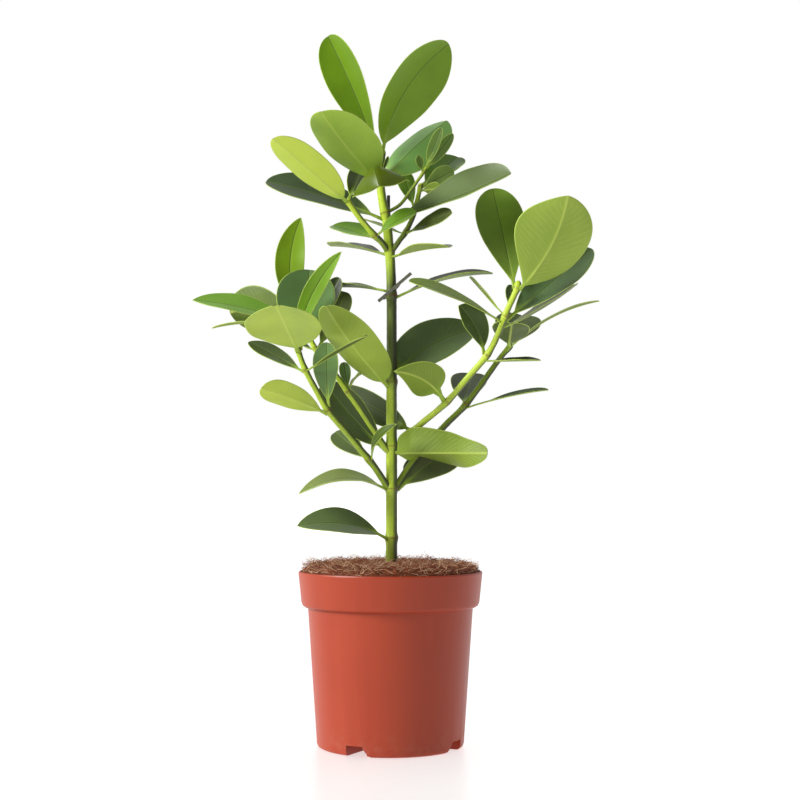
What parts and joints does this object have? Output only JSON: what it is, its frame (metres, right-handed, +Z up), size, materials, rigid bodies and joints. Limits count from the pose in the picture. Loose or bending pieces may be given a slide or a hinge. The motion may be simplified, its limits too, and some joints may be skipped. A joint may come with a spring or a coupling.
{
  "type": "potted clusia",
  "caption": "Young clusia house plant in a round nursery pot: upright branching stems on a thin stake with thick obovate leaves in opposite pairs, and coir fibre on the root ball.",
  "frame": {"origin": "middle of the pot's flat underside", "axes": "+Z up along the trunk, front of the plant towards -Y"},
  "size_m": [0.3844, 0.2162, 0.6724],
  "materials": {
    "pot": "terracotta red moulded plastic, soft satin",
    "peat": "dark peat with roots, matt",
    "coir": "reddish brown coconut fibre, matt",
    "stem": "yellow-green bark, satin",
    "stake": "dark thin stake, matt",
    "tie": "dark grey plastic, satin",
    "leaf_dark": "dark green leathery leaf, semi-gloss",
    "leaf_green": "mid green leathery leaf, semi-gloss",
    "leaf_lime": "lime green leaf underside, satin"
  },
  "bodies": {
    "root": {"pot": "pot", "root_ball": "peat", "coir_top": "coir", "stems": "stem", "support_stake": "stake", "plant_tie": "tie", "leaf_trunk_1_left": "leaf_dark", "leaf_trunk_2_left": "leaf_dark", "leaf_trunk_2_right": "leaf_dark", "leaf_trunk_3_left": "leaf_dark", "leaf_trunk_3_right": "leaf_lime", "leaf_trunk_4_left": "leaf_lime", "leaf_trunk_4_right": "leaf_dark", "leaf_trunk_5_left": "leaf_dark", "leaf_trunk_5_right": "leaf_dark", "leaf_trunk_6_left": "leaf_dark", "leaf_trunk_6_right": "leaf_dark", "leaf_trunk_7_left": "leaf_dark", "leaf_trunk_7_right": "leaf_dark", "leaf_trunk_8_left": "leaf_green", "leaf_trunk_8_front": "leaf_dark", "leaf_trunk_8_right": "leaf_dark", "leaf_trunk_9_left": "leaf_dark", "leaf_trunk_9_right": "leaf_dark", "leaf_low_left_1_right": "leaf_dark", "leaf_low_left_1_back": "leaf_dark", "leaf_low_left_2_left": "leaf_lime", "leaf_low_left_2_up": "leaf_dark", "leaf_low_left_3_left": "leaf_dark", "leaf_low_left_3_right": "leaf_dark", "leaf_low_left_4_front": "leaf_lime", "leaf_low_left_4_back": "leaf_dark", "leaf_low_left_5_up": "leaf_dark", "leaf_mid_left_2_back": "leaf_dark", "leaf_mid_left_3_right": "leaf_dark", "leaf_mid_left_4_left": "leaf_dark", "leaf_mid_left_4_up": "leaf_dark", "leaf_mid_left_4_back": "leaf_green", "leaf_mid_right_1_back": "leaf_dark", "leaf_mid_right_2_left": "leaf_lime", "leaf_mid_right_3_up": "leaf_dark", "leaf_mid_right_3_right": "leaf_dark", "leaf_mid_right_4_left": "leaf_dark", "leaf_mid_right_4_right": "leaf_dark", "leaf_mid_right_4_under": "leaf_lime", "leaf_mid_right_5_front": "leaf_lime", "leaf_mid_right_5_back": "leaf_dark", "leaf_low_right_2_back": "leaf_dark", "leaf_low_right_2_right": "leaf_dark", "leaf_low_right_3_front": "leaf_green", "leaf_low_right_3_back": "leaf_dark", "leaf_low_right_3_right": "leaf_dark", "leaf_high_left_1_left": "leaf_dark", "leaf_high_left_1_right": "leaf_dark", "leaf_high_left_2_right": "leaf_dark", "leaf_high_left_2_left": "leaf_lime", "leaf_high_right_1_right": "leaf_dark", "leaf_high_right_3_back": "leaf_dark", "leaf_high_right_3_right": "leaf_dark"}
  },
  "joints": []
}
